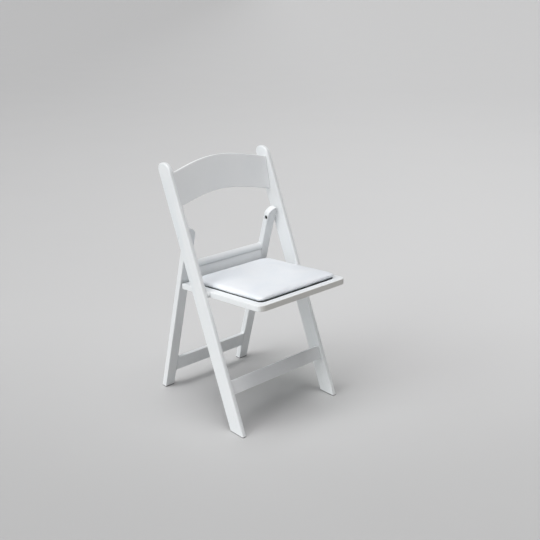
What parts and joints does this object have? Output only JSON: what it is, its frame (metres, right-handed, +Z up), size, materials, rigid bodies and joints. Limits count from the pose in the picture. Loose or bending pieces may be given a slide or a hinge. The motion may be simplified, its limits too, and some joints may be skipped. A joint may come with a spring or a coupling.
{
  "type": "folding chair",
  "caption": "Folding chair with straight crossing legs, an arched and bowed back panel, a hinged seat with a raised pad, and cross members between the legs.",
  "frame": {"origin": "centre of the bounding box, on the floor", "axes": "+X to the sitter's left, -Y to the front, +Z up"},
  "size_m": [0.404, 0.4953, 0.7759],
  "materials": {
    "white_resin": "satin moulded",
    "white_vinyl": "satin embossed vinyl over foam",
    "grey_rubber": "matte",
    "zinc_steel": "zinc plated",
    "black_steel": "black oxide",
    "plywood": "raw sheet"
  },
  "bodies": {
    "back_frame": {"post_left": "white_resin", "post_right": "white_resin", "backrest_panel": "white_resin", "front_stretcher": "white_resin", "front_glide_left": "grey_rubber", "front_glide_right": "grey_rubber", "backrest_dowel_left_lower": "zinc_steel", "backrest_dowel_left_upper": "zinc_steel", "backrest_dowel_right_lower": "zinc_steel", "backrest_dowel_right_upper": "zinc_steel", "front_stretcher_dowel_left_lower": "zinc_steel", "front_stretcher_dowel_left_upper": "zinc_steel", "front_stretcher_dowel_right_lower": "zinc_steel", "front_stretcher_dowel_right_upper": "zinc_steel", "leg_pivot_bolt_left": "zinc_steel", "leg_pivot_bolt_right": "zinc_steel", "leg_pivot_cap_left": "white_resin", "leg_pivot_cap_right": "white_resin", "leg_pivot_spacer_left": "white_resin", "leg_pivot_spacer_right": "white_resin", "seat_pivot_pin_left": "zinc_steel", "seat_pivot_pin_right": "zinc_steel", "seat_pivot_spacer_left": "white_resin", "seat_pivot_spacer_right": "white_resin"},
    "rear_frame": {"rear_leg_left": "white_resin", "rear_leg_right": "white_resin", "crossbar": "white_resin", "rear_stretcher": "white_resin", "rear_glide_left": "grey_rubber", "rear_glide_right": "grey_rubber", "leg_pivot_nut_left": "black_steel", "leg_pivot_nut_right": "black_steel", "crossbar_dowel_left": "zinc_steel", "crossbar_dowel_right": "zinc_steel", "rear_stretcher_dowel_left_lower": "zinc_steel", "rear_stretcher_dowel_left_upper": "zinc_steel", "rear_stretcher_dowel_right_lower": "zinc_steel", "rear_stretcher_dowel_right_upper": "zinc_steel"},
    "seat": {"seat_frame": "white_resin", "pad_board": "plywood", "seat_pad": "white_vinyl", "pad_screw_left_front": "zinc_steel", "pad_screw_left_rear": "zinc_steel", "pad_screw_right_front": "zinc_steel", "pad_screw_right_rear": "zinc_steel", "seat_pivot_bush_left": "black_steel", "seat_pivot_bush_right": "black_steel"}
  },
  "joints": [
    {"name": "rear_leg_fold", "type": "hinge", "parent": "back_frame", "child": "rear_frame", "pos_m": [0, 0.0873, 0.556], "axis": [-1, 0, 0], "range_deg": [0, 33]},
    {"name": "seat_fold", "type": "hinge", "parent": "back_frame", "child": "seat", "pos_m": [0, -0.0132, 0.4017], "axis": [-1, 0, 0], "range_deg": [0, 104]}
  ],
  "couplings": [
    {"joint": "seat_fold", "follows": "rear_leg_fold", "ratio": 3.15}
  ]
}
